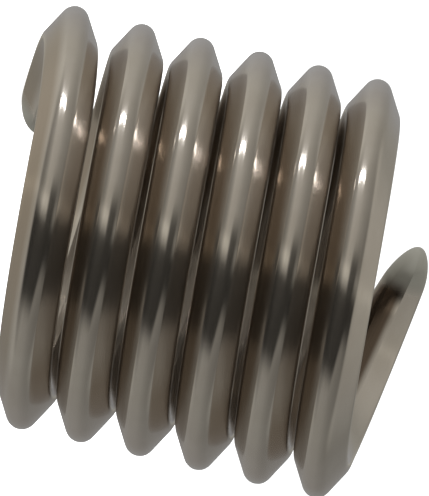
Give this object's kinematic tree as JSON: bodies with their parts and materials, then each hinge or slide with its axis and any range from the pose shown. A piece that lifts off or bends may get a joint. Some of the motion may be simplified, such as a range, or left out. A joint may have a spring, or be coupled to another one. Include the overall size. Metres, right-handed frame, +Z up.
{
  "type": "helical thread insert",
  "caption": "Free-standing helical thread insert wound from diamond-section stainless wire, with plain domed wire ends and no driving tang.",
  "frame": {"origin": "on the coil's axis, level with the lowest point of the insert as it stands on its first wire end", "axes": "+Z up along the coil's axis, towards the wire end that stands off furthest; the wire begins 62 degrees clockwise of +X seen from above"},
  "size_m": [0.0099, 0.0099, 0.0103],
  "materials": {
    "stainless_wire": "bright rolled stainless steel wire, smooth with faint marks along it"
  },
  "bodies": {
    "root": {"thread_insert": "stainless_wire"}
  },
  "joints": []
}
